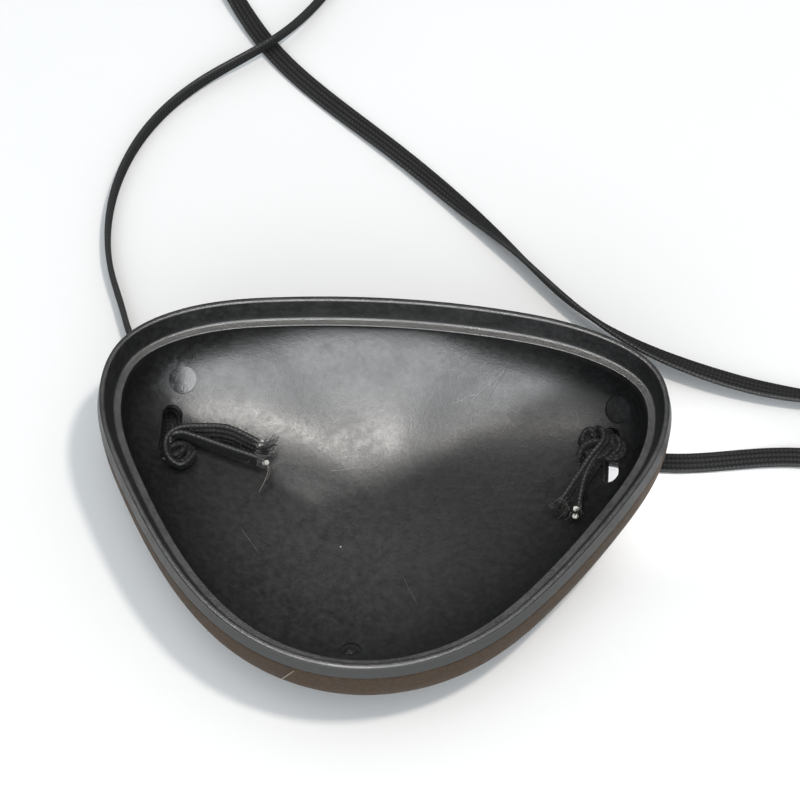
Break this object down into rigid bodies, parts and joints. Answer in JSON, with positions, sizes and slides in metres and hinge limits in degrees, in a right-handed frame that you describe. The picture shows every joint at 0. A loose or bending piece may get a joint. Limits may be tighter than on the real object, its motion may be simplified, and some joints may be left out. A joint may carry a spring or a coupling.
{
  "type": "eye patch",
  "caption": "Moulded cup-shaped eye patch with a stepped rim, slotted wall and knotted flat elastic band.",
  "frame": {"origin": "under the middle of the patch's box, on the surface that its domed side rests on", "axes": "+X along the patch's long side, +Y towards its flatter long edge, +Z out of the cup, towards the face"},
  "size_m": [0.1503, 0.1581, 0.017],
  "materials": {
    "shell": "satin, finely grained",
    "outer_cover": "fine leather grain",
    "elastic": "braided, ribbed along its length",
    "rubber_core": "matt cut end"
  },
  "bodies": {
    "patch": {"shell": "shell", "outer_cover": "outer_cover", "elastic_band": "elastic"},
    "left_knot": {"left_knot": "elastic"},
    "left_tails": {"left_tail_upper": "elastic", "left_tail_lower": "elastic", "left_core_upper": "rubber_core", "left_core_lower": "rubber_core"},
    "right_knot": {"right_knot": "elastic"},
    "right_tails": {"right_tail_left": "elastic", "right_tail_right": "elastic", "right_core_left": "rubber_core", "right_core_right": "rubber_core"}
  },
  "joints": [
    {"name": "left_knot_slide", "type": "slide", "parent": "patch", "child": "left_knot", "axis": [0, 0.9994, 0.0351], "range_m": [0, 0.005]},
    {"name": "left_tails_swing", "type": "hinge", "parent": "left_knot", "child": "left_tails", "pos_m": [-0.02937, 0.00843, 0.00601], "axis": [0, 0, 1], "range_deg": [-15, 12]},
    {"name": "right_knot_slide", "type": "slide", "parent": "patch", "child": "right_knot", "axis": [0, -0.982, 0.189], "range_m": [0, 0.005]},
    {"name": "right_tails_swing", "type": "hinge", "parent": "right_knot", "child": "right_tails", "pos_m": [0.02979, 0.01379, 0.00608], "axis": [0, 0, 1], "range_deg": [-35, 0]}
  ]
}
